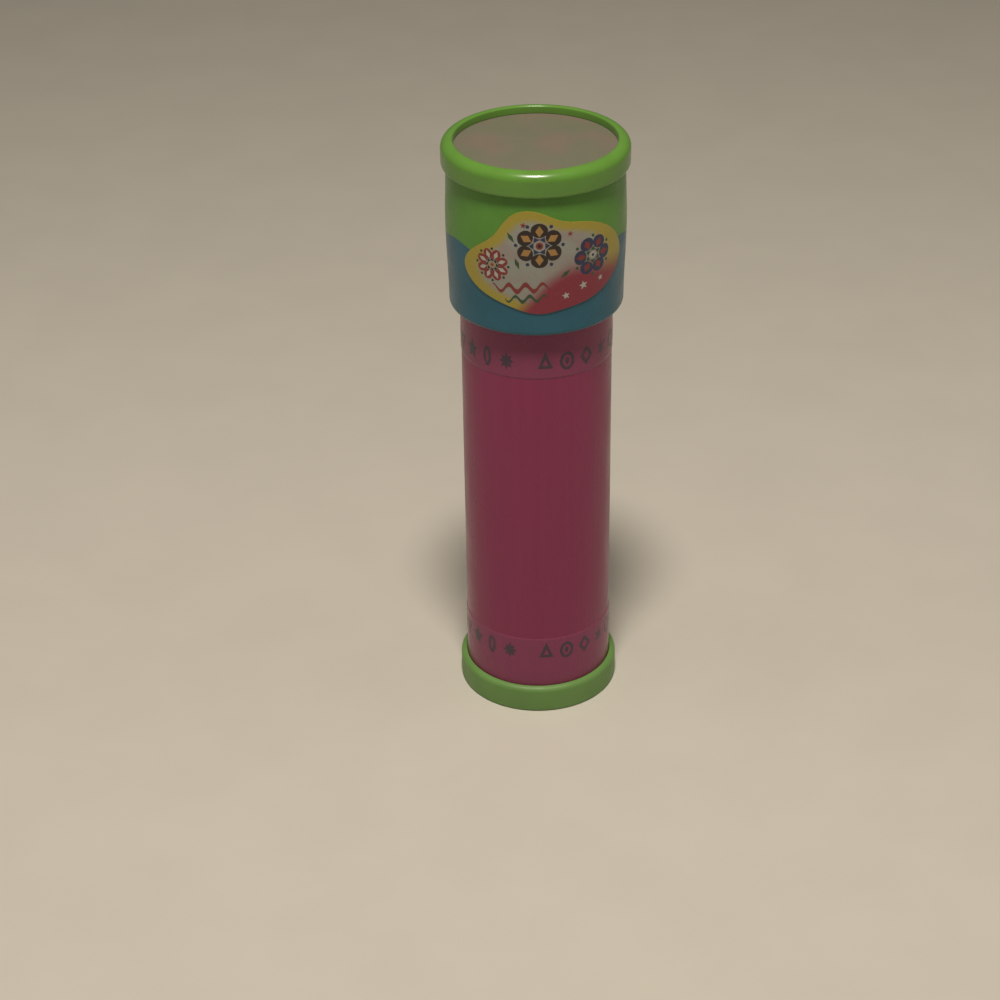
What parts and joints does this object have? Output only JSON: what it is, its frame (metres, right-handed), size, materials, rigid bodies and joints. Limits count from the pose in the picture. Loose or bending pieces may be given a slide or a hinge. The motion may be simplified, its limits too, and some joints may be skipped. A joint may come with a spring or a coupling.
{
  "type": "toy kaleidoscope",
  "caption": "Toy kaleidoscope: barrel lined with mirror strips, eyepiece cap that it stands on, and a turning head whose cell holds loose coloured pieces under a frosted disc.",
  "frame": {"origin": "middle of the eyepiece cap's foot, on the surface that the toy stands on", "axes": "+Z along the barrel from the eyepiece up to the head, -Y the front with the picture sticker, +X to the right seen from the front"},
  "size_m": [0.0486, 0.0486, 0.1629],
  "materials": {
    "green_plastic": "smooth moulded",
    "magenta_plastic": "smooth, soft gloss",
    "band_film": "printed film",
    "sleeve_print": "printed shrink sleeve, green above a wavy line and blue below",
    "sticker_print": "glossy printed sticker",
    "clear_plastic": "clear polished",
    "frosted_plastic": "frosted translucent",
    "white_plastic": "moulded",
    "black_plastic": "moulded",
    "mirror_strip": "silvered",
    "red_plastic": "translucent",
    "orange_plastic": "translucent",
    "pink_plastic": "translucent",
    "blue_plastic": "translucent",
    "leaf_plastic": "translucent",
    "teal_plastic": "translucent",
    "gold_plastic": "metallised",
    "violet_plastic": "translucent",
    "rose_plastic": "translucent",
    "amber_plastic": "translucent",
    "aqua_plastic": "translucent",
    "crimson_plastic": "translucent"
  },
  "bodies": {
    "body": {"eyepiece_cap": "green_plastic", "eyepiece_window": "clear_plastic", "barrel_tube": "magenta_plastic", "lower_band": "band_film", "upper_band": "band_film", "mirror_front": "mirror_strip", "mirror_right": "mirror_strip", "mirror_left": "mirror_strip", "lower_mirror_holder": "black_plastic", "swivel_collar": "black_plastic"},
    "head": {"head_shell": "green_plastic", "head_sleeve": "sleeve_print", "picture_sticker": "sticker_print", "cell_window": "clear_plastic", "cell_ring": "white_plastic", "diffuser_disc": "frosted_plastic", "rim_bezel": "green_plastic"},
    "star": {"loose_star": "red_plastic"},
    "ring": {"loose_ring": "orange_plastic"},
    "heart": {"loose_heart": "pink_plastic"},
    "tube": {"loose_tube": "blue_plastic"},
    "hexagon": {"loose_hexagon": "leaf_plastic"},
    "drop": {"loose_drop": "teal_plastic"},
    "sequin": {"loose_sequin": "gold_plastic"},
    "crescent": {"loose_crescent": "violet_plastic"},
    "flower": {"loose_flower": "rose_plastic"},
    "triangle": {"loose_triangle": "amber_plastic"},
    "ball": {"loose_ball": "aqua_plastic"},
    "diamond": {"loose_diamond": "crimson_plastic"}
  },
  "joints": [
    {"name": "head_turn", "type": "hinge", "parent": "body", "child": "head", "pos_m": [0, 0, 0.147], "axis": [0, 0, 1], "continuous": true},
    {"name": "star_slide", "type": "slide", "parent": "head", "child": "star", "axis": [0, 0, 1], "range_m": [0, 0.00675]},
    {"name": "ring_slide", "type": "slide", "parent": "head", "child": "ring", "axis": [0, 0, 1], "range_m": [0, 0.00655]},
    {"name": "heart_slide", "type": "slide", "parent": "head", "child": "heart", "axis": [0, 0, 1], "range_m": [0, 0.00675]},
    {"name": "tube_slide", "type": "slide", "parent": "head", "child": "tube", "axis": [0, 0, 1], "range_m": [0, 0.00575]},
    {"name": "hexagon_slide", "type": "slide", "parent": "head", "child": "hexagon", "axis": [0, 0, 1], "range_m": [0, 0.00675]},
    {"name": "drop_slide", "type": "slide", "parent": "head", "child": "drop", "axis": [0, 0, 1], "range_m": [0, 0.00675]},
    {"name": "sequin_slide", "type": "slide", "parent": "head", "child": "sequin", "axis": [0, 0, 1], "range_m": [0, 0.00745]},
    {"name": "crescent_slide", "type": "slide", "parent": "head", "child": "crescent", "axis": [0, 0, 1], "range_m": [0, 0.00675]},
    {"name": "flower_slide", "type": "slide", "parent": "head", "child": "flower", "axis": [0, 0, 1], "range_m": [0, 0.00675]},
    {"name": "triangle_slide", "type": "slide", "parent": "head", "child": "triangle", "axis": [0, 0, 1], "range_m": [0, 0.00675]},
    {"name": "ball_slide", "type": "slide", "parent": "head", "child": "ball", "axis": [0, 0, 1], "range_m": [0, 0.00415]},
    {"name": "diamond_slide", "type": "slide", "parent": "head", "child": "diamond", "axis": [0, 0, 1], "range_m": [0, 0.00675]}
  ]
}
